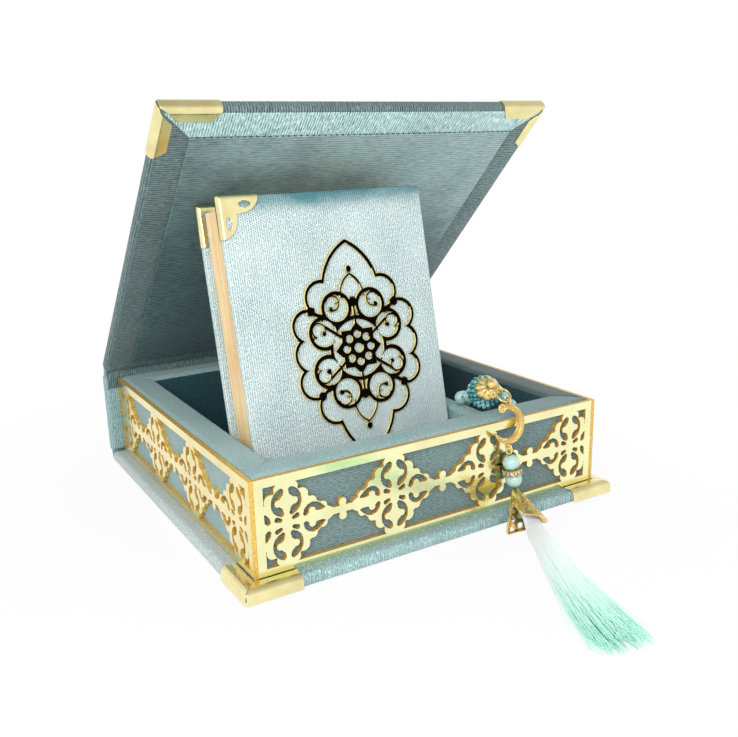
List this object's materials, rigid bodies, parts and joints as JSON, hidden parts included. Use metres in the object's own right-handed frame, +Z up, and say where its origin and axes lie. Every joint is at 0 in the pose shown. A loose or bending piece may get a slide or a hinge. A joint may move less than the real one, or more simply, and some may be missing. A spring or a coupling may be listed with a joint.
{
  "type": "quran box",
  "caption": "Cloth-covered clamshell gift box with gilt lattice sides, holding a cloth-bound book that props up the hinged lid, and a pearl bead strand with a tassel.",
  "frame": {"origin": "middle of the underside of the base board", "axes": "+Z up, -Y out of the front lattice, +X towards the bead compartment"},
  "size_m": [0.1834, 0.2768, 0.1762],
  "materials": {
    "cloth": "ribbed satin weave",
    "dark_cloth": "short pile",
    "gilt_sheet": "gold mirror sheet with copper coloured cut edges",
    "gilt": "bright gilt",
    "pearl": "pearl",
    "seed_bead": "glossy seed beads",
    "pages": "gilt page edges",
    "tassel": "silky thread"
  },
  "bodies": {
    "box": {"base_board": "cloth", "base_corner_left": "gilt", "base_corner_right": "gilt", "tray_front_wall": "cloth", "tray_rear_wall": "cloth", "tray_left_wall": "cloth", "tray_right_wall": "cloth", "book_floor": "dark_cloth", "bead_floor": "dark_cloth", "divider": "dark_cloth", "front_lattice": "gilt_sheet", "left_lattice": "gilt_sheet", "right_lattice": "gilt_sheet", "low_fold_cloth": "cloth", "pearl_strand": "pearl", "bead_ball": "seed_bead", "ball_cap": "gilt", "cap_bead": "gilt", "link_ring": "gilt", "crescent_charm": "gilt", "drop_pin": "gilt", "pearl_upper": "pearl", "rondelle": "gilt", "pearl_lower": "pearl", "petal_cone": "gilt", "tassel_neck": "tassel", "tassel_skirt": "tassel"},
    "spine": {"spine_board": "cloth", "high_fold_cloth": "cloth"},
    "lid": {"lid_board": "cloth", "lid_lining": "cloth", "lid_corner_left": "gilt", "lid_corner_right": "gilt"},
    "book": {"book_back_cover": "cloth", "page_block": "pages", "book_spine": "cloth", "back_corner_head": "gilt", "back_corner_foot": "gilt"},
    "book_front": {"book_front_cover": "cloth", "front_corner_head": "gilt", "front_corner_foot": "gilt", "medallion": "gilt_sheet"}
  },
  "joints": [
    {"name": "spine_fold", "type": "hinge", "parent": "box", "child": "spine", "pos_m": [0, 0.09015, 0.00275], "axis": [-1, 0, 0], "range_deg": [0, 89]},
    {"name": "lid_open", "type": "hinge", "parent": "spine", "child": "lid", "pos_m": [0, 0.09015, 0.04925], "axis": [-1, 0, 0], "range_deg": [0, 45]},
    {"name": "book_tip", "type": "hinge", "parent": "box", "child": "book", "pos_m": [-0.0205, -0.03045, 0.0095], "axis": [1, 0, 0], "range_deg": [0, 12.5]},
    {"name": "cover_open", "type": "hinge", "parent": "book", "child": "book_front", "pos_m": [0.027, -0.03792, 0.07651], "axis": [0, 0.2164, 0.9763], "range_deg": [0, 5]}
  ]
}
